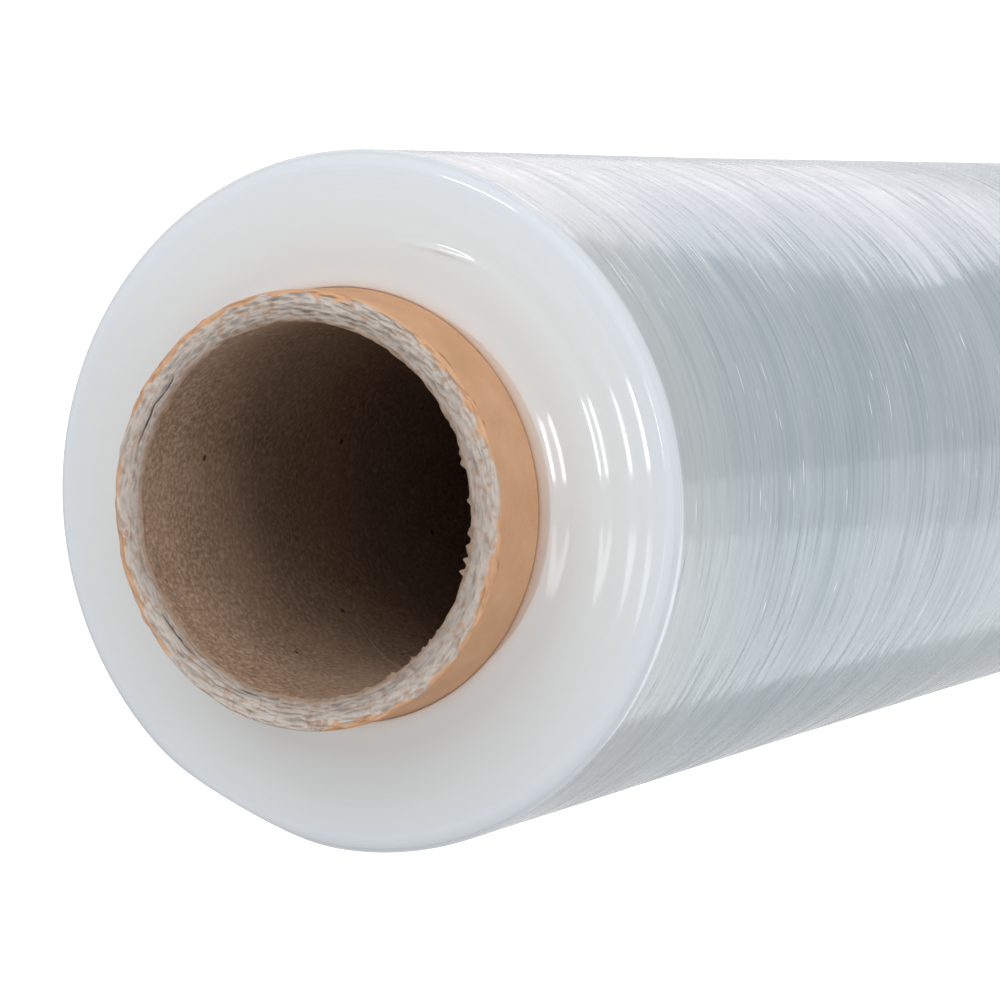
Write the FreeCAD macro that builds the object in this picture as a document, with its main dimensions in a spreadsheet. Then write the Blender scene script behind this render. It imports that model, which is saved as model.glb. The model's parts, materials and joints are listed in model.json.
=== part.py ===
import FreeCAD, Part
import math
import os
import Sketcher

# A hand roll of clear stretch film on its paperboard core, standing on one end
# of the core. Millimetres. The origin is the middle of the lower core end, and
# +Z runs up through the core.

# Driving dimensions, each with the name that the sketches use for it.
# The core is a tube of glued paperboard, and the film is wound on to it so that
# the bare core stands out at both ends. film_width is the length of the innermost
# turns. Each group of turns further out is a little shorter, and its edges show on
# the end face as one rounded ring, so both end faces fall away towards the side.
# The film is slightly stouter at its upper end, by upper_flare on the radius, and
# tapers to film_radius over flare_length. A flat spot runs down one side.
DRIVING_SIZES = [
    ("bore_radius", 25.4),
    ("core_wall", 4.35),
    ("core_projection", 12.0),
    ("film_width", 500.0),
    ("film_radius", 48.1),
    ("upper_flare", 0.5),
    ("flare_length", 110.0),
    ("face_fall", 2.5),
    ("corner_radius", 2.9),
    ("ring_sweep_degrees", 44.0),
    ("turn_group_a", 3.4),
    ("turn_group_b", 1.9),
    ("turn_group_c", 1.9),
    ("turn_group_d", 4.2),
    ("turn_group_e", 2.7),
    ("flat_depth", 1.3),
    ("flat_direction_degrees", 147.0),
]
TURN_GROUPS = [name for name, size in DRIVING_SIZES if name.startswith("turn_group")]

# The last turn group takes what is left of the film, and is never thinner than this.
THINNEST_GROUP = 0.8

# The soft corner between an end face and the side turns through this many bevels.
CORNER_BEVELS = 3


def make_sheet(doc):
    """Put the driving dimensions in a sheet, one alias for each."""
    sheet = doc.addObject("Spreadsheet::Sheet", "Sizes")
    for row, (name, size) in enumerate(DRIVING_SIZES, start=1):
        sheet.set(f"A{row}", name)
        sheet.set(f"B{row}", str(size))
        sheet.setAlias(f"B{row}", name)
    doc.recompute()
    return sheet


def cell(name):
    """The expression that reads one driving dimension."""
    return f"Sizes.{name}"


CORE_RADIUS = f"({cell('bore_radius')} + {cell('core_wall')})"
CORE_LENGTH = f"({cell('film_width')} + 2 * {cell('core_projection')})"
UPPER_RADIUS = f"({cell('film_radius')} + {cell('upper_flare')})"
LOWER_FACE_RADIUS = f"({cell('film_radius')} - {cell('corner_radius')})"
UPPER_FACE_RADIUS = f"({UPPER_RADIUS} - {cell('corner_radius')})"


def origin_plane(body, role):
    """One of the body's own origin planes."""
    for feature in body.Origin.OriginFeatures:
        if feature.Role == role:
            return feature
    raise ValueError(role)


def new_sketch(body, name, plane):
    """An empty sketch on one of the body's origin planes."""
    sketch = body.newObject("Sketcher::SketchObject", name)
    sketch.AttachmentSupport = [(origin_plane(body, plane), "")]
    sketch.MapMode = "FlatFace"
    return sketch


def bind(sketch, constraint, name, expression):
    """Add a constraint whose size follows the sheet."""
    index = sketch.addConstraint(constraint)
    sketch.renameConstraint(index, name)
    sketch.setExpression(f"Constraints.{name}", expression)


def make_core(doc):
    """The paperboard tube: two circles padded to the length it is sawn to."""
    body = doc.addObject("PartDesign::Body", "paper_core")
    sketch = new_sketch(body, "core_section", "XY_Plane")
    middle = FreeCAD.Vector(0, 0, 0)
    for name, radius in (("inside", cell("bore_radius")), ("outside", CORE_RADIUS)):
        size = sketch.evalExpression(radius)
        circle = sketch.addGeometry(Part.Circle(middle, FreeCAD.Vector(0, 0, 1), size))
        sketch.addConstraint(Sketcher.Constraint("Coincident", circle, 3, -1, 1))
        bind(sketch, Sketcher.Constraint("Radius", circle, size), name, radius)
    tube = body.newObject("PartDesign::Pad", "core_tube")
    tube.Profile = sketch
    tube.setExpression("Length", CORE_LENGTH)
    return body


def end_face(sheet, face_radius):
    """An end face's turn groups: the radius where each starts, and its depth there.

    Both are expressions. The depth counts from the edge of the innermost turn, and
    the last pair is where the rounded corner to the side starts.
    """
    radii = [CORE_RADIUS]
    room = sheet.evalExpression(face_radius) - THINNEST_GROUP
    next_radius = f"{CORE_RADIUS} + {cell(TURN_GROUPS[0])}"
    while sheet.evalExpression(next_radius) <= room:
        radii.append(next_radius)
        group = TURN_GROUPS[(len(radii) - 1) % len(TURN_GROUPS)]
        next_radius = f"{radii[-1]} + {cell(group)}"
    radii.append(face_radius)
    fall_per_mm = f"{cell('face_fall')} / ({face_radius} - {CORE_RADIUS})"
    return [(radius, f"({radius} - {CORE_RADIUS}) * {fall_per_mm}") for radius in radii]


def corner_bevels(face_radius):
    """Radius and depth, as expressions, of the points that the soft corner runs through."""
    points = []
    for bevel in range(CORNER_BEVELS + 1):
        turn = math.pi / 2 * bevel / CORNER_BEVELS
        out = f"{face_radius} + {cell('corner_radius')} * {math.sin(turn):.4f}"
        down = f"{cell('face_fall')} + {cell('corner_radius')} * {1 - math.cos(turn):.4f}"
        points.append((out, down))
    return points


def film_outline(sheet):
    """Corners of the film's half section, anticlockwise, each with the edge that leaves it."""
    low = cell("core_projection")
    high = f"{low} + {cell('film_width')}"
    taper_depth = f"{cell('face_fall')} + {cell('corner_radius')} + {cell('flare_length')}"
    lower_face = end_face(sheet, LOWER_FACE_RADIUS)
    upper_face = end_face(sheet, UPPER_FACE_RADIUS)
    lower_corner = corner_bevels(LOWER_FACE_RADIUS)
    upper_corner = corner_bevels(UPPER_FACE_RADIUS)
    corners = [(radius, f"{low} + {depth}", "ring") for radius, depth in lower_face[:-1]]
    corners += [(radius, f"{low} + {depth}", "line") for radius, depth in lower_corner]
    corners.append((cell("film_radius"), f"{high} - ({taper_depth})", "line"))
    corners += [(radius, f"{high} - ({depth})", "line") for radius, depth in upper_corner[:0:-1]]
    corners += [(radius, f"{high} - {depth}", "ring") for radius, depth in upper_face[:0:-1]]
    corners.append((CORE_RADIUS, high, "line"))
    return corners


def arc_between(start, end, sweep):
    """An anticlockwise arc from start to end that turns through sweep radians."""
    chord = end - start
    left = FreeCAD.Vector(-chord.y, chord.x, 0).normalize()
    radius = chord.Length / 2 / math.sin(sweep / 2)
    middle = (start + end) / 2 + left * radius * math.cos(sweep / 2)
    first = math.atan2(start.y - middle.y, start.x - middle.x)
    circle = Part.Circle(middle, FreeCAD.Vector(0, 0, 1), radius)
    return Part.ArcOfCircle(circle, first, first + sweep)


def draw_film_section(sketch, sheet):
    """Draw the film's half section and tie every corner and arc to the sheet."""
    corners = film_outline(sheet)
    ring_sweep = math.radians(sheet.evalExpression(cell("ring_sweep_degrees")))
    places = [FreeCAD.Vector(sheet.evalExpression(across), sheet.evalExpression(up), 0)
              for across, up, edge in corners]
    edges = []
    for number, (across, up, edge) in enumerate(corners):
        start = places[number]
        end = places[(number + 1) % len(places)]
        if edge == "ring":
            shape = arc_between(start, end, ring_sweep)
        else:
            shape = Part.LineSegment(start, end)
        edges.append(sketch.addGeometry(shape))
    for number, (across, up, edge) in enumerate(corners):
        geometry = edges[number]
        place = places[number]
        before = edges[number - 1]
        sketch.addConstraint(Sketcher.Constraint("Coincident", before, 2, geometry, 1))
        bind(sketch, Sketcher.Constraint("DistanceX", -1, 1, geometry, 1, place.x),
             f"across_{number}", across)
        bind(sketch, Sketcher.Constraint("DistanceY", -1, 1, geometry, 1, place.y),
             f"up_{number}", up)
        if edge == "ring":
            bind(sketch, Sketcher.Constraint("Angle", geometry, ring_sweep),
                 f"sweep_{number}", cell("ring_sweep_degrees") + " * 1 deg")


def draw_flat(sketch, sheet):
    """Draw the block that takes the flat spot off one side, before it is turned to its place."""
    plane = f"{UPPER_RADIUS} - {cell('flat_depth')}"
    clear = f"2 * {UPPER_RADIUS}"
    near = sheet.evalExpression(plane)
    far = sheet.evalExpression(clear)
    half = sheet.evalExpression(UPPER_RADIUS)
    places = [FreeCAD.Vector(near, -half, 0), FreeCAD.Vector(far, -half, 0),
              FreeCAD.Vector(far, half, 0), FreeCAD.Vector(near, half, 0)]
    sides = [sketch.addGeometry(Part.LineSegment(places[number], places[(number + 1) % 4]))
             for number in range(4)]
    for number in range(4):
        following = sides[(number + 1) % 4]
        direction = "Horizontal" if number % 2 == 0 else "Vertical"
        sketch.addConstraint(Sketcher.Constraint("Coincident", sides[number], 2, following, 1))
        sketch.addConstraint(Sketcher.Constraint(direction, sides[number]))
    bind(sketch, Sketcher.Constraint("DistanceX", -1, 1, sides[0], 1, near), "plane", plane)
    bind(sketch, Sketcher.Constraint("DistanceX", -1, 1, sides[0], 2, far), "clear", clear)
    bind(sketch, Sketcher.Constraint("DistanceY", sides[0], 1, -1, 1, half), "one_side",
         UPPER_RADIUS)
    bind(sketch, Sketcher.Constraint("DistanceY", -1, 1, sides[2], 1, half), "other_side",
         UPPER_RADIUS)


def make_film(doc, sheet):
    """The wound film: its half section turned about the core, then the flat spot."""
    body = doc.addObject("PartDesign::Body", "film_roll")
    section = new_sketch(body, "film_section", "XZ_Plane")
    draw_film_section(section, sheet)
    turns = body.newObject("PartDesign::Revolution", "film_turns")
    turns.Profile = section
    turns.ReferenceAxis = (section, ["V_Axis"])
    turns.Angle = 360
    doc.recompute()
    round_volume = turns.Shape.Volume

    sketch = new_sketch(body, "flat_section", "XY_Plane")
    sketch.AttachmentOffset = FreeCAD.Placement(
        FreeCAD.Vector(0, 0, 0), FreeCAD.Rotation(FreeCAD.Vector(0, 0, 1), 0))
    sketch.setExpression("AttachmentOffset.Rotation.Angle",
                         cell("flat_direction_degrees") + " * 1 deg")
    draw_flat(sketch, sheet)
    flat = body.newObject("PartDesign::Pocket", "flat_spot")
    flat.Profile = sketch
    flat.Type = "Length"
    flat.Reversed = True
    flat.setExpression("Length", CORE_LENGTH)
    doc.recompute()
    if not body.Shape.Volume < round_volume:
        raise RuntimeError("the flat spot took nothing off the film")
    return body


def check(doc, bodies):
    """Stop if anything in the document failed, or a sub-part isn't one sound solid."""
    for item in doc.Objects:
        if "Invalid" in item.State or "Error" in item.State:
            raise RuntimeError(f"{item.Name} failed: {item.State}")
    for body in bodies:
        shape = body.Shape
        if shape.isNull() or not shape.isValid() or len(shape.Solids) != 1:
            raise RuntimeError(f"{body.Label} isn't one sound solid")


doc = FreeCAD.newDocument("stretch_wrap_roll")
sheet = make_sheet(doc)
core = make_core(doc)
film = make_film(doc, sheet)
doc.recompute()
check(doc, [core, film])

os.makedirs("parts", exist_ok=True)
for body in (core, film):
    body.Shape.exportStep(f"parts/{body.Label}.step")
    print(body.Label, "volume", round(body.Shape.Volume), "cubic millimetres")
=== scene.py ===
import json
import math

import bpy
import numpy as np
from mathutils import Matrix, Vector


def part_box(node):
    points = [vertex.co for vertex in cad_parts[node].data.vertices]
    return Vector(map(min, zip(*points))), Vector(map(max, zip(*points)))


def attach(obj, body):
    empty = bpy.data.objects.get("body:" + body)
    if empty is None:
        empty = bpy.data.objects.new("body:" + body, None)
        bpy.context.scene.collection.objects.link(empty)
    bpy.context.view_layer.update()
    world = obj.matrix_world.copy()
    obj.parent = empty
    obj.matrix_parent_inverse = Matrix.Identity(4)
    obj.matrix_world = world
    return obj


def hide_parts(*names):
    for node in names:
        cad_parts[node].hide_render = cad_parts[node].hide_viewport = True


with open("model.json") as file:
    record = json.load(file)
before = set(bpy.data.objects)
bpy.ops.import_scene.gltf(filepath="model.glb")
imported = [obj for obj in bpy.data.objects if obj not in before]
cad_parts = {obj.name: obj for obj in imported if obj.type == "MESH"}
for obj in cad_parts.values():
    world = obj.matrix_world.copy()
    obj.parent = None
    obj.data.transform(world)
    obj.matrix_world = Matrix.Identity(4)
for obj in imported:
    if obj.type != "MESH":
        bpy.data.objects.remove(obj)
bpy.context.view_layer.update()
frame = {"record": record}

# Paperboard core.
# A tube of spirally wound, glued board plies with an orange-tan kraft ply outside and a
# brown kraft liner inside. It is sawn to length, which leaves the ends grey and fibrous.

MM = 0.001
core_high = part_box("paper_core")[1]
core_bore = next(mount for mount in frame["record"]["mounts"] if mount["name"] == "core_bore")
BORE_RADIUS = core_bore["dims"]["r_mm"] * MM
CORE_RADIUS = core_high.x
CORE_TOP = core_high.z
CORE_WALL = CORE_RADIUS - BORE_RADIUS

CORE_STEPS = 720                 # points round the tube, about a quarter of a millimetre apart
UPPER_SAWN_ROWS = 40             # rings of points over the upper end, a ninth of a millimetre apart
LOWER_SAWN_ROWS = 14             # and over the lower one, a third of a millimetre apart
KRAFT = 0.6 * MM                 # the kraft ply outside
SAW_ROUGHNESS = 0.17 * MM        # how far the fibres of the sawn end stand up or down
FIBRE = 0.12 * MM                # how wide those fibres and their clumps are
CLUMP = 0.5 * MM
CRACK_RADIUS = 26.9 * MM         # where two plies have come apart at the sawn end
CRACK_WANDER = 0.22 * MM         # how far the crack strays from there in slow and in short bends
CRACK_BENDS = 0.09 * MM
CRACK_WIDTH = 0.1 * MM
CRACK_SIDE = math.radians(95)    # the side where it gapes most, and how far round it closes
CRACK_SPREAD = math.radians(60)
CRACK_DEPTH = 0.6 * MM
TORN_BACK = 0.3 * MM             # how far the kraft ply is torn back from the end in places
EDGE_DROP = 0.2 * MM             # how far the sawn edges are rounded down, and how far in
EDGE_REACH = 0.15 * MM
TUFT_REACH = 1.1 * MM            # how far torn liner hangs into the bore
TUFT_THICK = 0.3 * MM            # how much of the wall comes away with it
TUFT_SIDE = math.radians(-120)   # the side of the bore where most of it hangs
TUFT_SPREAD = math.radians(38)
LOWER_TUFTS = 0.4                # how much of that reach the lower end has
DENT = 0.02 * MM                 # how uneven the outside of the tube is, and the most out and in
DENT_OUT = 0.03 * MM
DENT_IN = 0.06 * MM
LINER_WAVE = 0.06 * MM           # how uneven the liner is
SEAM_PITCH = 115.6 * MM          # the liner's width along the axis, one turn of its seam
SEAM_HEIGHT = 465.3 * MM         # where the seam crosses the side that faces +Y
LEAN_SIDE = math.radians(-70)    # the side where fibres and lines that run round lean most


def smooth_noise(rows, columns, row_length, column_length, seed):
    """A random field that repeats both ways, smoothed over so many cells, of unit spread.

    The 16 makes the blur about as wide as the lengths given.
    """
    field = np.random.default_rng(seed).standard_normal((rows, columns))
    down = np.fft.fftfreq(rows)[:, None] * row_length
    along = np.fft.fftfreq(columns)[None, :] * column_length
    field = np.fft.ifft2(np.fft.fft2(field) * np.exp(-16 * (down ** 2 + along ** 2))).real
    return (field - field.mean()) / field.std()


def add_piece(name, points, faces):
    """A smooth mesh object from an array of points and one of faces."""
    mesh = bpy.data.meshes.new(name)
    mesh.from_pydata(points.reshape(-1, 3).tolist(), [], faces.tolist())
    mesh.shade_smooth()
    piece = bpy.data.objects.new(name, mesh)
    bpy.context.scene.collection.objects.link(piece)
    return piece


def turned_piece(name, radius, height, attributes):
    """A closed ring: row i of its section runs round the axis at radius[i] and height[i]."""
    rows, steps = radius.shape
    turn = np.linspace(0, 2 * math.pi, steps, endpoint=False)[None, :]
    points = np.stack([radius * np.cos(turn), radius * np.sin(turn), height], axis=-1)
    row = np.arange(rows)[:, None]
    step = np.arange(steps)[None, :]
    next_row = (row + 1) % rows
    next_step = (step + 1) % steps
    corners = [row * steps + step, row * steps + next_step,
               next_row * steps + next_step, next_row * steps + step]
    piece = add_piece(name, points, np.stack(corners, axis=-1).reshape(-1, 4))
    for key, values in attributes.items():
        layer = piece.data.attributes.new(key, "FLOAT", "POINT")
        layer.data.foreach_set("value", np.broadcast_to(values, radius.shape).ravel())
    return piece


def turned_from(side, angle):
    """How far each angle is turned away from a side, up to half a turn either way."""
    return (angle - side + math.pi) % (2 * math.pi) - math.pi


angle = np.linspace(0, 2 * math.pi, CORE_STEPS, endpoint=False)[None, :]


def sawn_end(rows, seed, tuft_reach):
    """Radius, depth, bare board and crack over a sawn end, row by row from its outer edge."""
    share = np.linspace(0, 1, rows)[:, None]
    inward = share * CORE_WALL
    radius = CORE_RADIUS - inward + 0 * angle
    row_step = CORE_WALL / (rows - 1)
    fibres = smooth_noise(rows, CORE_STEPS, FIBRE / row_step, 2.2, seed)
    clumps = smooth_noise(rows, CORE_STEPS, CLUMP / row_step, 5.0, seed + 1)
    depth = SAW_ROUGHNESS * (0.8 * fibres + 0.5 * clumps)

    # One crack wanders round between two plies, wider in some places than in others; the board's
    # material paints shade into it.
    wander = CRACK_WANDER * smooth_noise(1, CORE_STEPS, 1, 24, seed + 2)
    wander = wander + CRACK_BENDS * smooth_noise(1, CORE_STEPS, 1, 4, seed + 3)
    opened = np.clip(0.5 + 0.8 * smooth_noise(1, CORE_STEPS, 1, 12, seed + 4), 0, 1.5)
    opened = opened * (0.2 + 0.8 * np.exp(-(turned_from(CRACK_SIDE, angle) / CRACK_SPREAD) ** 2))
    across = (radius - CRACK_RADIUS - wander) / (CRACK_WIDTH * (0.6 + 0.6 * opened))
    crack = np.exp(-across ** 2) * np.clip(opened, 0, 1)
    depth = depth + CRACK_DEPTH * crack

    # The kraft ply is torn back here and there, and the edges are slightly rounded.
    torn = smooth_noise(1, CORE_STEPS, 1, 14, seed + 5)
    torn = torn + 0.6 * smooth_noise(1, CORE_STEPS, 1, 3, seed + 6)
    depth = depth + TORN_BACK * np.clip(torn - 0.2, 0, 1.6) * np.exp(-(inward / KRAFT) ** 2)
    to_edge = np.minimum(inward, CORE_WALL - inward)
    depth = depth + EDGE_DROP * np.exp(-(to_edge / EDGE_REACH) ** 2)

    # Torn liner hangs into the bore as small ragged tufts.
    hang = smooth_noise(1, CORE_STEPS, 1, 1.5, seed + 7)
    hang = hang + 0.8 * smooth_noise(1, CORE_STEPS, 1, 6, seed + 8)
    gathered = 0.14 + np.exp(-(turned_from(TUFT_SIDE, angle) / TUFT_SPREAD) ** 2)
    hang = np.clip(hang - 0.3, 0, 2.4) * gathered * tuft_reach / 2
    at_bore = np.exp(-((CORE_WALL - inward) / TUFT_THICK) ** 2)
    radius = radius - hang * at_bore
    depth = depth + 0.4 * hang * at_bore

    # The kraft ply ends in a ragged line, and the board is bare from there inwards.
    bare = np.clip((inward - KRAFT * (0.8 + 0.6 * torn)) / (0.08 * MM), 0, 1)
    return radius, depth - depth.min(), bare, crack


top_radius, top_depth, top_bare, top_crack = sawn_end(UPPER_SAWN_ROWS, 11, TUFT_REACH)
low_radius, low_depth, low_bare, low_crack = sawn_end(
    LOWER_SAWN_ROWS, 41, LOWER_TUFTS * TUFT_REACH)

# The wall's rows go up the outside and down the bore. They lie closer where the wall is seen,
# by the ends and in the upper part of the bore, and far apart where the film hides it.
wall_up = np.array([0.9, 1.6, 4, 8, 12, 60, 140, 262, 384, 464, 504, 511, 513, 515, 517, 519,
                    520.5, 521.5, 522.2, 522.7]) * MM
wall_down = np.concatenate([
    [522.7, 522.2, 521.6, 521, 520, 518.5, 516.5], np.arange(514, 400, -9.5),
    np.arange(395, 10, -35.0), [6, 2, 0.9]]) * MM
dents = DENT * smooth_noise(len(wall_up), CORE_STEPS, 1.2, 30, 5)
dents = np.clip(dents, -DENT_IN, DENT_OUT)
liner_waves = LINER_WAVE * smooth_noise(len(wall_down), CORE_STEPS, 0.8, 22, 6)
core_radius = np.concatenate([CORE_RADIUS - DENT_OUT + dents, top_radius,
                              BORE_RADIUS + liner_waves, low_radius[::-1]])
core_height = np.concatenate([wall_up[:, None] + 0 * dents, CORE_TOP - top_depth,
                              wall_down[:, None] + 0 * liner_waves, low_depth[::-1]])
core_bare = np.concatenate([0 * dents, top_bare, 0 * liner_waves, low_bare[::-1]])
core_crack = np.concatenate([0 * dents, top_crack, 0 * liner_waves, low_crack[::-1]])
core = turned_piece("core_tube", core_radius, core_height,
                    {"bare_board": core_bare, "ply_crack": core_crack})


def linear(code):
    """The linear colour of an sRGB hex code."""
    parts = [int(code[place:place + 2], 16) / 255 for place in (1, 3, 5)]
    return [part / 12.92 if part <= 0.04045 else ((part + 0.055) / 1.055) ** 2.4
            for part in parts] + [1]


def add_node(tree, kind, sockets=(), steps=(), out=0, **settings):
    """Add a node and give back one of its outputs.

    sockets holds a value, a hex colour or a link for each input, by name or place, and steps
    the places and colours or numbers of a colour ramp.
    """
    node = tree.nodes.new("ShaderNode" + kind)
    for key, value in settings.items():
        setattr(node, key, value)
    for key, value in dict(sockets).items():
        if isinstance(value, bpy.types.NodeSocket):
            tree.links.new(value, node.inputs[key])
        else:
            node.inputs[key].default_value = linear(value) if isinstance(value, str) else value
    for number, (position, colour) in enumerate(steps):
        elements = node.color_ramp.elements
        element = elements[number] if number < 2 else elements.new(position)
        element.position = position
        element.color = linear(colour) if isinstance(colour, str) else (colour, colour, colour, 1)
    return node.outputs[out] if len(node.outputs) else node


def new_material(name):
    """A material with an empty node tree."""
    material = bpy.data.materials.new(name)
    material.use_nodes = True
    material.node_tree.nodes.clear()
    return material, material.node_tree


def around_axis(tree):
    """A point's place, its distance and direction from the roll's axis, and its height."""
    place = add_node(tree, "TexCoord", out="Object")
    flat = add_node(tree, "VectorMath", {0: place, 1: (1, 1, 0)}, operation="MULTIPLY")
    away = add_node(tree, "VectorMath", {0: flat}, operation="LENGTH", out="Value")
    toward = add_node(tree, "VectorMath", {0: flat}, operation="NORMALIZE")
    height = add_node(tree, "SeparateXYZ", {0: place}, out="Z")
    return place, away, toward, height


def wound_noise(tree, across, along, radius, lean=0.0, detail=3, rough=0.5, deep=1.0):
    """Noise drawn out round the axis: across and along are the size of its features in metres.

    The features lean by lean for each radian at LEAN_SIDE, and as far the other way across
    from it. They go on unchanged through the depth of the roll where deep is 0.
    """
    _, away, toward, height = around_axis(tree)
    onward = (-math.sin(LEAN_SIDE), math.cos(LEAN_SIDE), 0)
    leaning = add_node(tree, "VectorMath", {0: toward, 1: onward}, operation="DOT_PRODUCT",
                       out="Value")
    shifted = add_node(tree, "Math", {0: leaning, 1: lean, 2: height}, operation="MULTIPLY_ADD")
    ring = add_node(tree, "VectorMath", {0: toward, "Scale": radius * across / along},
                    operation="SCALE")
    rise = add_node(tree, "CombineXYZ", {"Z": shifted})
    where = add_node(tree, "VectorMath", {0: ring, 1: rise}, operation="ADD")
    return add_node(tree, "TexNoise", {"Vector": where, "W": add_node(
        tree, "Math", {0: away, 1: deep / across}, operation="MULTIPLY"),
        "Scale": 1 / across, "Detail": detail, "Roughness": rough}, noise_dimensions="4D")


# Kraft paper and grey board, both made of wood pulp and left bare: matt and fibrous at every
# angle, without any shine. Real fibres are some hundredths of a millimetre wide. They are
# drawn as bunches about a fifth of a millimetre wide, the finest that the picture can show.
paperboard, tree = new_material("spiral_wound_paperboard")
place, away, toward, height = around_axis(tree)
mid_wall = (CORE_RADIUS + BORE_RADIUS) / 2

# The kraft ply is orange-tan, with a slow mottle, paler fibres that run round the tube and a
# few brown spots.
mottle = add_node(tree, "TexNoise", {"Vector": place, "Scale": 1 / (7 * MM), "Detail": 4})
kraft = add_node(tree, "ValToRGB", {0: mottle}, [
    (0.35, "#B68C6A"), (0.5, "#BC9170"), (0.65, "#C29878")])
kraft_fibre = wound_noise(tree, 0.22 * MM, 0.7 * MM, CORE_RADIUS, lean=8 * MM, detail=3)
lighter = add_node(tree, "ValToRGB", {0: kraft_fibre}, [(0.44, 0.0), (0.66, 0.5)])
kraft = add_node(tree, "Mix", {0: lighter, 6: kraft, 7: "#DDB795"}, out=2, data_type="RGBA")
spots = add_node(tree, "TexVoronoi", {"Vector": place, "Scale": 1 / (6 * MM)})
spot = add_node(tree, "ValToRGB", {0: spots}, [(0.035, 0.6), (0.06, 0.0)])
kraft = add_node(tree, "Mix", {0: spot, 6: kraft, 7: "#8A5A3A"}, out=2, data_type="RGBA")

# The liner is brown, with fine pale and dark fibres, paler clouds and a few dark specks.
grain = add_node(tree, "TexNoise", {
    "Vector": place, "Scale": 1 / (0.7 * MM), "Detail": 4, "Roughness": 0.6})
liner = add_node(tree, "ValToRGB", {0: grain}, [
    (0.3, "#78614E"), (0.5, "#937A66"), (0.7, "#B39A85")])
cloud = add_node(tree, "TexNoise", {"Vector": place, "Scale": 1 / (14 * MM), "Detail": 2})
paler = add_node(tree, "ValToRGB", {0: cloud}, [(0.4, 0.0), (0.7, 0.35)])
liner = add_node(tree, "Mix", {0: paler, 6: liner, 7: "#AC9481"}, out=2, data_type="RGBA")
specks = add_node(tree, "TexVoronoi", {"Vector": place, "Scale": 1 / (8 * MM)})
speck = add_node(tree, "ValToRGB", {0: specks}, [(0.04, 0.85), (0.07, 0.0)])
liner = add_node(tree, "Mix", {0: speck, 6: liner, 7: "#2A1C12"}, out=2, data_type="RGBA")

# The liner's strip meets itself in a seam that winds down the bore. Near the upper end, where light
# falls into the bore, the seam is painted pale as a painted highlight, and deeper down only its
# ridge shows.
toward_x = add_node(tree, "SeparateXYZ", {0: toward})
toward_y = toward_x.node.outputs["Y"]
bearing = add_node(tree, "Math", {0: toward_y, 1: toward_x}, operation="ARCTAN2")
climb = add_node(tree, "Math", {0: bearing, 1: -SEAM_PITCH / (2 * math.pi), 2: height},
                 operation="MULTIPLY_ADD")
start = SEAM_HEIGHT - SEAM_PITCH / 4
climb = add_node(tree, "Math", {0: climb, 1: start - SEAM_PITCH / 2}, operation="SUBTRACT")
climb = add_node(tree, "Math", {0: climb, 1: SEAM_PITCH}, operation="FLOORED_MODULO")
off_seam = add_node(tree, "Math", {0: climb, 1: SEAM_PITCH / 2}, operation="SUBTRACT")
off_seam = add_node(tree, "Math", {0: off_seam}, operation="ABSOLUTE")
seam = add_node(tree, "MapRange", {0: off_seam, 1: 0.12 * MM, 2: 0.34 * MM, 3: 1.0, 4: 0.0},
                clamp=True)
# The pale tint near the upper end is a painted highlight on the seam, fading where the light no
# longer reaches.
seam_painted_light = add_node(tree, "MapRange", {
    0: height, 1: CORE_TOP - 48 * MM, 2: CORE_TOP - 34 * MM, 4: 0.6})
seam_painted_highlight = add_node(tree, "Math", {0: seam, 1: seam_painted_light}, operation="MULTIPLY")
liner = add_node(tree, "Mix", {0: seam_painted_highlight, 6: liner, 7: "#D9BC9B"}, out=2, data_type="RGBA")

# The sawn board is grey pulp: pale torn fibres and a few warm ones. Dark paint between the fibres is
# painted shade in their pits, and dark paint between the plies is painted shade in their gaps. The
# inner plies are greyer, the liner is cut through in a ragged brown line, and the crack is painted
# darkest of all, as painted shade in it.
pulp = wound_noise(tree, 0.24 * MM, 0.55 * MM, mid_wall, detail=3, rough=0.7)
board = add_node(tree, "ValToRGB", {0: pulp}, [
    (0.37, "#6A5E56"), (0.46, "#B3A79C"), (0.54, "#DAD1C9"), (0.61, "#F6F1EC")])
tinge = add_node(tree, "TexNoise", {"Vector": place, "Scale": 1 / (1.3 * MM), "Detail": 3})
warm = add_node(tree, "ValToRGB", {0: tinge}, [(0.52, 0.0), (0.66, 0.6)])
board = add_node(tree, "Mix", {0: warm, 6: board, 7: "#B08A6C"}, out=2, data_type="RGBA")
# Dark pits: painted shade in the hollows between the fibres.
pits = wound_noise(tree, 0.22 * MM, 0.5 * MM, mid_wall, detail=1, rough=0.6)
pit_shade = add_node(tree, "ValToRGB", {0: pits}, [(0.36, 0.9), (0.43, 0.0)])
board = add_node(tree, "Mix", {0: pit_shade, 6: board, 7: "#4A4039"}, out=2, data_type="RGBA")
# Dark lines between the plies: painted shade in their gaps.
plies = wound_noise(tree, 0.24 * MM, 7 * MM, mid_wall, detail=1)
ply_gap_shade = add_node(tree, "ValToRGB", {0: plies}, [(0.38, 0.85), (0.44, 0.0)])
board = add_node(tree, "Mix", {0: ply_gap_shade, 6: board, 7: "#665A50"}, out=2, data_type="RGBA")
greyer = add_node(tree, "MapRange", {
    0: away, 1: BORE_RADIUS + 0.8 * MM, 2: BORE_RADIUS + 2.6 * MM, 3: 0.5, 4: 0.0})
board = add_node(tree, "Mix", {0: greyer, 6: board, 7: "#857A72"}, out=2, data_type="RGBA")
ragged = add_node(tree, "Math", {0: pulp, 1: 1.6 * MM, 2: away}, operation="MULTIPLY_ADD")
lining = add_node(tree, "MapRange", {
    0: ragged, 1: BORE_RADIUS + 1.1 * MM, 2: BORE_RADIUS + 1.5 * MM, 3: 0.75, 4: 0.0})
board = add_node(tree, "Mix", {0: lining, 6: board, 7: "#8A715B"}, out=2, data_type="RGBA")
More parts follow.
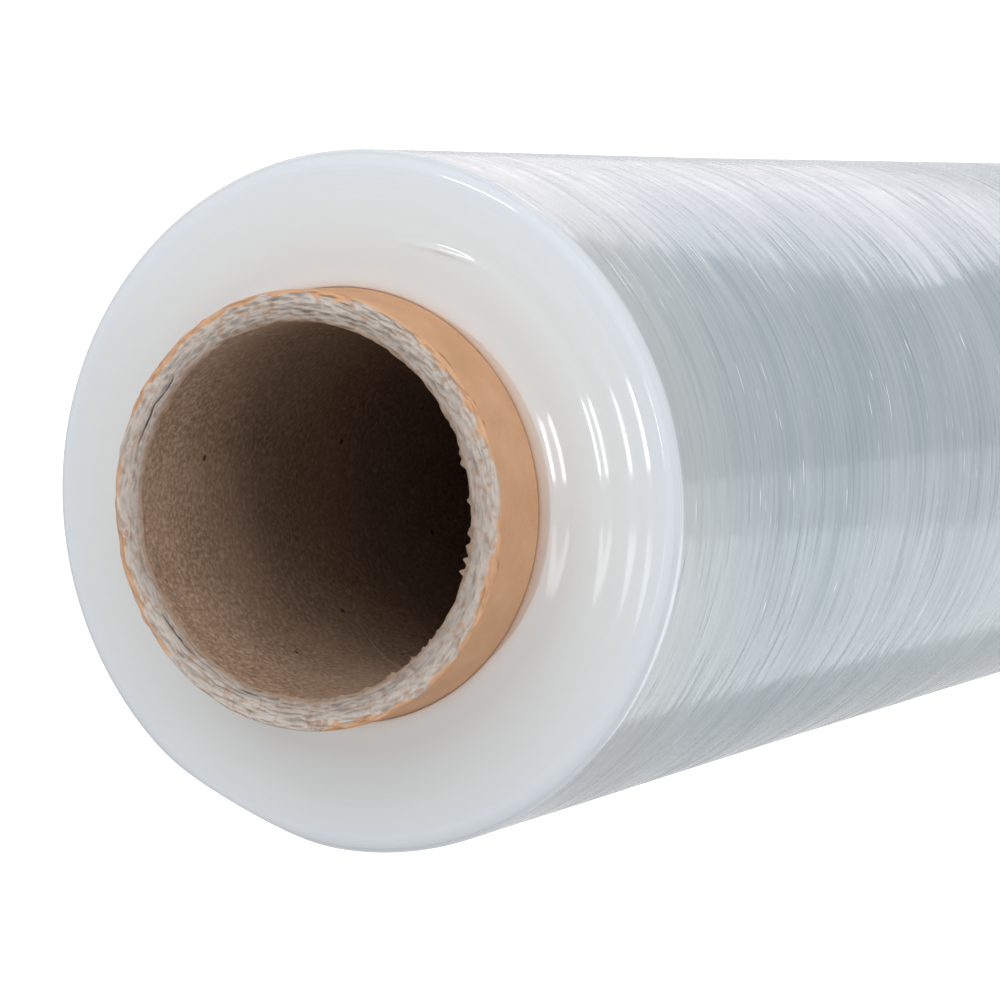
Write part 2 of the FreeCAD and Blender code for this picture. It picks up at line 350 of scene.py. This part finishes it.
# The crack's near-black is painted shade inside the gap.
crack = add_node(tree, "Attribute", attribute_name="ply_crack", out="Fac")
crack_shade = add_node(tree, "ValToRGB", {0: crack}, [(0.25, 0.0), (0.75, 0.8)])
board = add_node(tree, "Mix", {0: crack_shade, 6: board, 7: "#3A322C"}, out=2, data_type="RGBA")

# Paper outside and inside, and bare board where the saw went through, all slightly raised by
# their fibres and by the seam.
inside = add_node(tree, "Math", {0: away, 1: mid_wall}, operation="LESS_THAN")
bare = add_node(tree, "Attribute", attribute_name="bare_board", out="Fac")
paper = add_node(tree, "Mix", {0: inside, 6: kraft, 7: liner}, out=2, data_type="RGBA")
colour = add_node(tree, "Mix", {0: bare, 6: paper, 7: board}, out=2, data_type="RGBA")
relief = add_node(tree, "Mix", {0: bare, 2: kraft_fibre, 3: pulp})
relief = add_node(tree, "Math", {0: seam, 1: 0.6, 2: relief}, operation="MULTIPLY_ADD")
normal = add_node(tree, "Bump", {"Strength": 0.5, "Distance": 0.12 * MM, "Height": relief})
board_paper = add_node(tree, "BsdfPrincipled", {
    "Base Color": colour, "Roughness": 0.9, "IOR": 1.45, "Specular IOR Level": 0.2,
    "Normal": normal})
add_node(tree, "OutputMaterial", {"Surface": board_paper})
core.data.materials.append(paperboard)
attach(core, "root")
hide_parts("paper_core")

# Stretch film.
# Some two hundred metres of clear cling film wound tightly on the core. The turns cling into
# one body: glossy and finely lined round the side, milky and softly ringed where they end.

FILM_STEPS = 480                 # points round the roll, under two thirds of a millimetre apart
UPPER_POINTS = 0.22 * MM         # how far apart they lie across the upper end
UPPER_CORNER = 11                # and how many go round its corner
LOWER_POINTS = 0.4 * MM          # the same at the lower end, which is seen less
LOWER_CORNER = 7
FILM_RADIUS = 48.1 * MM
UPPER_FLARE = 0.44 * MM          # how much wider the roll is at its upper end
FLARE_LENGTH = 110 * MM
FACE_FALL = 2.5 * MM             # how far the ends fall away from the core out to the corner
CORNER = 2.9 * MM                # the soft corner between an end and the side
SQUARER = 5                      # the corner's power where the rings stand out; 2 is a circle
# The rings: how steeply the ends fall away, at distances from the axis in millimetres.
RING_SLOPES = [(29.75, 0.06), (31.2, 0.13), (32.2, 0.22), (33.0, 0.25), (33.8, 0.22),
               (34.8, 0.11), (36.6, 0.1), (37.9, 0.17), (38.4, 0.215), (38.95, 0.262), (39.5, 0.215),
               (40.1, 0.16), (41.0, 0.11), (42.2, 0.17), (42.75, 0.226), (43.3, 0.17),
               (44.0, 0.11), (44.9, 0.17), (45.3, 0.222), (45.7, 0.18)]
RING_SIDE = math.radians(-84)    # the side where the rings stand out most
RING_SPREAD = math.radians(48)   # how far round they fade from there
FAINT_RINGS = 0.3                # how much of them is left on the other side
RING_SOFTNESS = 0.25 * MM        # over what length one slope runs into the next
FOLD_SIDE = math.radians(-32.5)  # a small fold in the upper end, which glints
FOLD_SPREAD = math.radians(8)
FOLD_RADIUS = 37.8 * MM
FOLD_SWING = 5.2 * MM            # how much nearer the core it comes for each radian on
FOLD_HEIGHT = 0.24 * MM
FOLD_WIDTH = 0.4 * MM
CORE_STANDS_OUT = 12 * MM
EDGE_WANDER = 0.01 * MM          # how uneven the ends and the side are
SIDE_BAND = 0.012 * MM
SIDE_START = 8 * MM              # how far along the side its own unevenness comes in
FLAT_SIDE = math.radians(147)    # where the roll has been pressed flat
FLAT_DEPTH = 1.3 * MM
FLAT_SOFTNESS = 0.5 * MM         # how softly the flat runs into the round
FILM_TOP = CORE_TOP - CORE_STANDS_OUT
MIDDLE = CORE_TOP / 2


def end_section(face_radius, point_step, corner_points):
    """Radius, depth and ring height of an end's points, from the core round its soft corner.

    The two after those say how much further out and higher a squarer corner lies.
    """
    count = round((face_radius - CORE_RADIUS) / point_step)
    radius = np.linspace(CORE_RADIUS, face_radius, count)
    slope = np.interp(radius / MM, *np.array(RING_SLOPES).T)
    weight = np.exp(-((radius[:, None] - radius[None, :]) / RING_SOFTNESS) ** 2)
    slope = weight @ slope / weight.sum(1)
    share = (radius - CORE_RADIUS) / (face_radius - CORE_RADIUS)
    fallen = np.concatenate([[0], np.cumsum((slope[1:] + slope[:-1]) / 2 * np.diff(radius))])
    turn = np.linspace(0, math.pi / 2, corner_points)[1:]
    out, up = np.sin(turn), np.abs(np.cos(turn))
    return (np.concatenate([radius, face_radius + CORNER * out]),
            np.concatenate([FACE_FALL * share, FACE_FALL + CORNER * (1 - up)]),
            np.concatenate([fallen[-1] * share - fallen, 0 * turn]),
            CORNER * np.concatenate([0 * radius, out ** (2 / SQUARER) - out]),
            CORNER * np.concatenate([0 * radius, up ** (2 / SQUARER) - up]))


upper = end_section(FILM_RADIUS + UPPER_FLARE - CORNER, UPPER_POINTS, UPPER_CORNER)
lower = end_section(FILM_RADIUS - CORNER, LOWER_POINTS, LOWER_CORNER)
side_low = CORE_STANDS_OUT + lower[1][-1]
side_high = FILM_TOP - upper[1][-1]
close_rows = np.array([0.4, 1.0, 1.8, 3.0, 4.6]) * MM
side_height = np.concatenate([side_low + close_rows, np.linspace(side_low, side_high, 62)[1:-1],
                              side_high - close_rows[::-1]])
flared = np.clip(1 - (side_height[-1] - side_height) / FLARE_LENGTH, 0, 1)
side_radius = FILM_RADIUS + UPPER_FLARE * flared
section_radius = np.concatenate([lower[0], side_radius, upper[0][::-1]])[:, None]
section_height = np.concatenate([CORE_STANDS_OUT + lower[1], side_height,
                                 FILM_TOP - upper[1][::-1]])[:, None]
ring_height, squarer_out, squarer_up = [
    np.concatenate([lower[part], 0 * side_height, upper[part][::-1]])[:, None]
    for part in (2, 3, 4)]
rows = len(section_radius)
angle = np.linspace(0, 2 * math.pi, FILM_STEPS, endpoint=False)[None, :]
upper_side = np.where(section_height > MIDDLE, 1, -1)
to_end = np.minimum(section_height - side_low, side_high - section_height)
on_side = np.clip(to_end / SIDE_START, 0, 1)

# The turns aren't perfectly even: their edges wander on the ends and the side has soft bands.
edge_wander = EDGE_WANDER * smooth_noise(rows, FILM_STEPS, 5, 40, 21)
side_bands = SIDE_BAND * np.abs(smooth_noise(rows, FILM_STEPS, 2.0, 60, 22))

# The rings stand out on one side, where the corner is squarer too, and are faint elsewhere.
facing = np.exp(-(turned_from(RING_SIDE, angle) / RING_SPREAD) ** 2)
rings = ring_height * (FAINT_RINGS + (1 - FAINT_RINGS) * facing) + squarer_up * facing
film_height = section_height + (rings + (1 - on_side) * edge_wander) * upper_side
film_radius = section_radius + squarer_out * facing - on_side * side_bands

# A few turns have ridden up in the upper end, in a short fold that runs aslant to the rings.
off_fold = turned_from(FOLD_SIDE, angle)
off_ridge = section_radius - (FOLD_RADIUS - FOLD_SWING * off_fold)
fold = np.exp(-(off_ridge / FOLD_WIDTH) ** 2 - (off_fold / FOLD_SPREAD) ** 2)
film_height = film_height + FOLD_HEIGHT * fold * (section_height > MIDDLE)

# A soft flat runs down one side, deepest at the rim and fading towards the core. The 0.3
# keeps its plane well outside the roll on all the other sides.
toward_flat = np.maximum(np.cos(turned_from(FLAT_SIDE, angle)), 0.3)
flat_reach = (FILM_RADIUS + UPPER_FLARE - FLAT_DEPTH) / toward_flat
nearer = -FLAT_SOFTNESS * np.logaddexp(-film_radius / FLAT_SOFTNESS, -flat_reach / FLAT_SOFTNESS)
out_share = np.clip((film_radius - CORE_RADIUS) / (FILM_RADIUS - CORE_RADIUS), 0, 1)
film_radius = film_radius + (nearer - film_radius) * out_share ** 2
on_core = section_radius[:, 0] < CORE_RADIUS + 0.001 * MM
film_radius[on_core] = CORE_RADIUS
film = turned_piece("film_turns", film_radius, film_height, {})

# Clear linear low-density polyethylene, cast on a polished roller, so it is glossy. So many
# turns lie on each other that they scatter and mirror the light: milky at their edges, and
# silvery along the side.
film_gloss, tree = new_material("wound_polyethylene_film")
_, away, _, height = around_axis(tree)
from_middle = add_node(tree, "Math", {0: height, 1: MIDDLE}, operation="SUBTRACT")
from_middle = add_node(tree, "Math", {0: from_middle}, operation="ABSOLUTE")
side_end = FILM_TOP - FACE_FALL - CORNER - MIDDLE
on_end = add_node(tree, "MapRange", {
    0: from_middle, 1: side_end - 0.2 * MM, 2: side_end + 0.5 * MM})

# The ends are warm at the core and bluish at the rim. The edges of the turns show as faint
# greyer rings, and those of the first turns as whiter ones.
out = add_node(tree, "MapRange", {0: away, 1: CORE_RADIUS, 2: FILM_RADIUS})
end_colour = add_node(tree, "ValToRGB", {0: out}, [
    (0.0, "#C4AC99"), (0.03, "#D3C8BF"), (0.09, "#D5D3D2"), (0.35, "#DADBDB"), (0.75, "#DCDFE0"),
    (0.88, "#DBE0E5"), (1.0, "#D8DEE4")])
rings = wound_noise(tree, 1.6 * MM, 70 * MM, FILM_RADIUS, detail=2)
ring_tone = add_node(tree, "ValToRGB", {0: rings}, [(0.36, 0.4), (0.54, 0.0)])
end_colour = add_node(tree, "Mix", {0: ring_tone, 6: end_colour, 7: "#BCC0C2"}, out=2,
                      data_type="RGBA")
first_turns = wound_noise(tree, 0.45 * MM, 90 * MM, FILM_RADIUS, detail=1)
first_tone = add_node(tree, "ValToRGB", {0: first_turns}, [(0.48, 0.0), (0.58, 0.7)])
near_core = add_node(tree, "MapRange", {0: out, 1: 0.06, 2: 0.2, 3: 1.0, 4: 0.0})
first_tone = add_node(tree, "Math", {0: first_tone, 1: near_core}, operation="MULTIPLY")
end_colour = add_node(tree, "Mix", {0: first_tone, 6: end_colour, 7: "#EEEAE7"}, out=2,
                      data_type="RGBA")

# Along the side the turns are lined round and round. Real lines are finer still, and these are drawn
# about a millimetre apart, no finer than the picture can show. Short white streaks are painted
# glints, highlights painted into the colour where creases would catch the light; darker wisps run
# between them, and the side is paler and greyer by its ends.
lines = wound_noise(tree, 0.9 * MM, 40 * MM, FILM_RADIUS, lean=1 * MM, detail=1, deep=0.0)
leaning = wound_noise(tree, 3.2 * MM, 26 * MM, FILM_RADIUS, lean=5 * MM, detail=0, deep=0.0)
wrinkles = wound_noise(tree, 0.9 * MM, 12 * MM, FILM_RADIUS, lean=3 * MM, detail=0, deep=0.0)
wrinkle = add_node(tree, "ValToRGB", {0: wrinkles}, [(0.64, 0.0), (0.76, 1.0)])
bands = wound_noise(tree, 12 * MM, 60 * MM, FILM_RADIUS, lean=12 * MM, detail=1, deep=0.0)
side_colour = add_node(tree, "ValToRGB", {0: bands}, [(0.3, "#8D9DA6"), (0.7, "#A1AEB5")])
line_tone = add_node(tree, "ValToRGB", {0: lines}, [(0.4, 0.0), (0.66, 0.22)])
side_colour = add_node(tree, "Mix", {0: line_tone, 6: side_colour, 7: "#C6D0D4"}, out=2,
                       data_type="RGBA")
# The white streaks are painted glints: highlights painted into the side's colour, not a colour of
# the film.
glint_streaks = wound_noise(tree, 0.45 * MM, 5 * MM, FILM_RADIUS, lean=3 * MM, detail=0, deep=0.0)
painted_glint = add_node(tree, "ValToRGB", {0: glint_streaks}, [(0.78, 0.0), (0.84, 0.8)])
side_colour = add_node(tree, "Mix", {0: painted_glint, 6: side_colour, 7: "#F0F3F4"}, out=2,
                       data_type="RGBA")
wisps = wound_noise(tree, 1.1 * MM, 26 * MM, FILM_RADIUS, lean=3 * MM, detail=0, deep=0.0)
wisp = add_node(tree, "ValToRGB", {0: wisps}, [(0.24, 0.4), (0.34, 0.0)])
side_colour = add_node(tree, "Mix", {0: wisp, 6: side_colour, 7: "#74868F"}, out=2,
                       data_type="RGBA")
near_end = add_node(tree, "MapRange", {
    0: from_middle, 1: side_end - 40 * MM, 2: side_end, 3: 0.0, 4: 0.6})
side_colour = add_node(tree, "Mix", {0: near_end, 6: side_colour, 7: "#BDBFBF"}, out=2,
                       data_type="RGBA")
colour = add_node(tree, "Mix", {0: on_end, 6: side_colour, 7: end_colour}, out=2,
                  data_type="RGBA")

# The lines, some leaning waves and the wrinkles are raised by hundredths of a millimetre.
# Hazy streaks blur what the film mirrors.
relief = add_node(tree, "Math", {0: lines, 1: 0.011 * MM}, operation="MULTIPLY")
relief = add_node(tree, "Math", {0: leaning, 1: 0.05 * MM, 2: relief}, operation="MULTIPLY_ADD")
relief = add_node(tree, "Math", {0: wrinkle, 1: 0.05 * MM, 2: relief}, operation="MULTIPLY_ADD")
lined = add_node(tree, "MapRange", {0: on_end, 3: 1.0, 4: 0.0})
normal = add_node(tree, "Bump", {"Strength": lined, "Distance": 1.0, "Height": relief})
haze = wound_noise(tree, 1.4 * MM, 30 * MM, FILM_RADIUS, lean=3 * MM, detail=1, deep=0.0)
rough = add_node(tree, "MapRange", {0: haze, 1: 0.42, 2: 0.62, 3: 0.08, 4: 0.26})
rough = add_node(tree, "Mix", {0: on_end, 2: rough, 3: 0.07})
turns = add_node(tree, "BsdfPrincipled", {
    "Base Color": colour, "Roughness": rough, "IOR": 1.5, "Metallic": 0.42,
    "Subsurface Weight": 0.8, "Subsurface Radius": (1, 1, 1), "Subsurface Scale": 1.6 * MM,
    "Normal": normal})
add_node(tree, "OutputMaterial", {"Surface": turns})
film.data.materials.append(film_gloss)
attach(film, "root")
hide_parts("film_roll")

# Studio.
# A plain pale floor that runs out to a white surround, with soft lamps round the roll. The
# camera doesn't see the lamps.

FLOOR_HALF = 4.0
corners = np.array([(-1, -1, 0), (1, -1, 0), (1, 1, 0), (-1, 1, 0)]) * FLOOR_HALF
floor = add_piece("floor", corners, np.array([(0, 1, 2, 3)]))

# White floor paint is matt, so it takes the roll's soft shadow and mirrors nothing. It glows a
# little for the camera, and less in what mirrors it, so that it runs into the white surround.
floor_paint, tree = new_material("white_floor_paint")
paint = add_node(tree, "BsdfDiffuse", {"Color": "#C8C8C8"})
seen = add_node(tree, "LightPath", out="Is Camera Ray")
mirrored = add_node(tree, "Math", {
    0: seen.node.outputs["Is Glossy Ray"], 1: seen.node.outputs["Is Transmission Ray"]},
    operation="MAXIMUM")
lift = add_node(tree, "Math", {0: mirrored, 1: 0.15}, operation="MULTIPLY")
lift = add_node(tree, "Math", {0: seen, 1: 0.7, 2: lift}, operation="MULTIPLY_ADD")
glow = add_node(tree, "Emission", {"Strength": lift})
paint = add_node(tree, "AddShader", {0: paint, 1: glow})
add_node(tree, "OutputMaterial", {"Surface": paint})
floor.data.materials.append(floor_paint)

# The surround is white to the camera, and lights the roll a little less brightly than that.
world = bpy.data.worlds.new("studio")
bpy.context.scene.world = world
world.use_nodes = True
tree = world.node_tree
tree.nodes.clear()
seen = add_node(tree, "LightPath", out="Is Camera Ray")
level = add_node(tree, "MapRange", {0: seen, 3: 0.76, 4: 1.0})
surround = add_node(tree, "Background", {"Color": "#FFFFFF", "Strength": level})
add_node(tree, "OutputWorld", {"Surface": surround})


def softbox(name, place, aim, width, height, power, colour="#FFFFFF", roll=0.0, mirrored=True):
    """A rectangular lamp at place, facing aim, width across and height up, rolled by degrees."""
    lamp = bpy.data.lights.new(name, "AREA")
    lamp.shape = "RECTANGLE"
    lamp.size = width
    lamp.size_y = height
    lamp.energy = power
    lamp.color = linear(colour)[:3]
    box = bpy.data.objects.new(name, lamp)
    turned = (Vector(aim) - Vector(place)).to_track_quat("-Z", "Y").to_matrix().to_4x4()
    rolled = Matrix.Rotation(math.radians(roll), 4, "Z")
    box.matrix_world = Matrix.Translation(place) @ turned @ rolled
    box.visible_camera = False
    box.visible_glossy = mirrored
    bpy.context.scene.collection.objects.link(box)


# Three large soft lamps light the roll plainly. The film doesn't mirror them.
softbox("key_softbox", (0.65, -0.5, 1.25), (0, 0, 0.5), 0.45, 0.45, 2.0, mirrored=False)
softbox("top_softbox", (0.85, 0.15, 1.2), (0, 0, 0.5), 0.7, 0.7, 5.0, mirrored=False)
softbox("low_softbox", (0.0, -1.1, 0.9), (0, 0, 0.5), 0.5, 0.5, 4.2, mirrored=False)

# The rings of the upper end mirror two panes of a window, and its fold a small far lamp.
softbox("window_lamp", (0.055, 0.0, 1.5), (0.055, 0.0, 0.5), 0.13, 0.045, 0.04)
softbox("window_pane", (-0.17, 0.05, 1.5), (-0.17, 0.05, 0.5), 0.14, 0.06, 0.011)
softbox("streak_lamp", (0.653, 0.075, 1.288), (0.032, -0.021, 0.51), 0.22, 0.08, 0.16)

# The side mirrors two upright cards beside the roll and two that lie where a table would.
softbox("side_card", (0.12, -0.02, 0.21), (0, -0.02, 0.21), 0.1, 0.3, 0.066, "#FFF1F4", -16)
softbox("far_card", (0.12, 0.08, 0.21), (0, 0.08, 0.21), 0.1, 0.3, 0.044, "#FFEEF3", -16)
softbox("table_card", (-0.245, -0.15, 0.01), (-0.245, -0.15, 1.0), 0.25, 0.3, 0.125)
softbox("near_card", (-0.08, -0.15, 0.01), (-0.08, -0.15, 1.0), 0.08, 0.3, 0.019)

# Camera.
# It stands before the upper end, just above it, and looks down along the roll. Its top is
# turned towards +X, so that the roll lies across the picture.

CAMERA_OUT = 271.4 * MM          # before the roll's axis
CAMERA_UP = 468.1 * MM           # above the core's end
AIM_ASIDE = -2.2 * MM            # where it looks in the plane of the core's end
AIM_OUT = 30.1 * MM
PICTURE_TURN = math.radians(-9.1)
LENS = 145.3                     # millimetres, before a sensor of this width
SENSOR = 36

camera_data = bpy.data.cameras.new("camera")
camera_data.lens = LENS
camera_data.sensor_width = SENSOR
camera_data.clip_start = 0.01
camera_data.clip_end = 50
camera = bpy.data.objects.new("camera", camera_data)
bpy.context.scene.collection.objects.link(camera)
eye = Vector((0, -CAMERA_OUT, CORE_TOP + CAMERA_UP))
forward = (Vector((AIM_ASIDE, -AIM_OUT, CORE_TOP)) - eye).normalized()
right = forward.cross(Vector((math.cos(PICTURE_TURN), math.sin(PICTURE_TURN), 0))).normalized()
up = right.cross(forward)
looking = Matrix((right, up, -forward)).transposed().to_4x4()
camera.matrix_world = Matrix.Translation(eye) @ looking
bpy.context.scene.camera = camera
bpy.context.scene.view_settings.view_transform = "Standard"
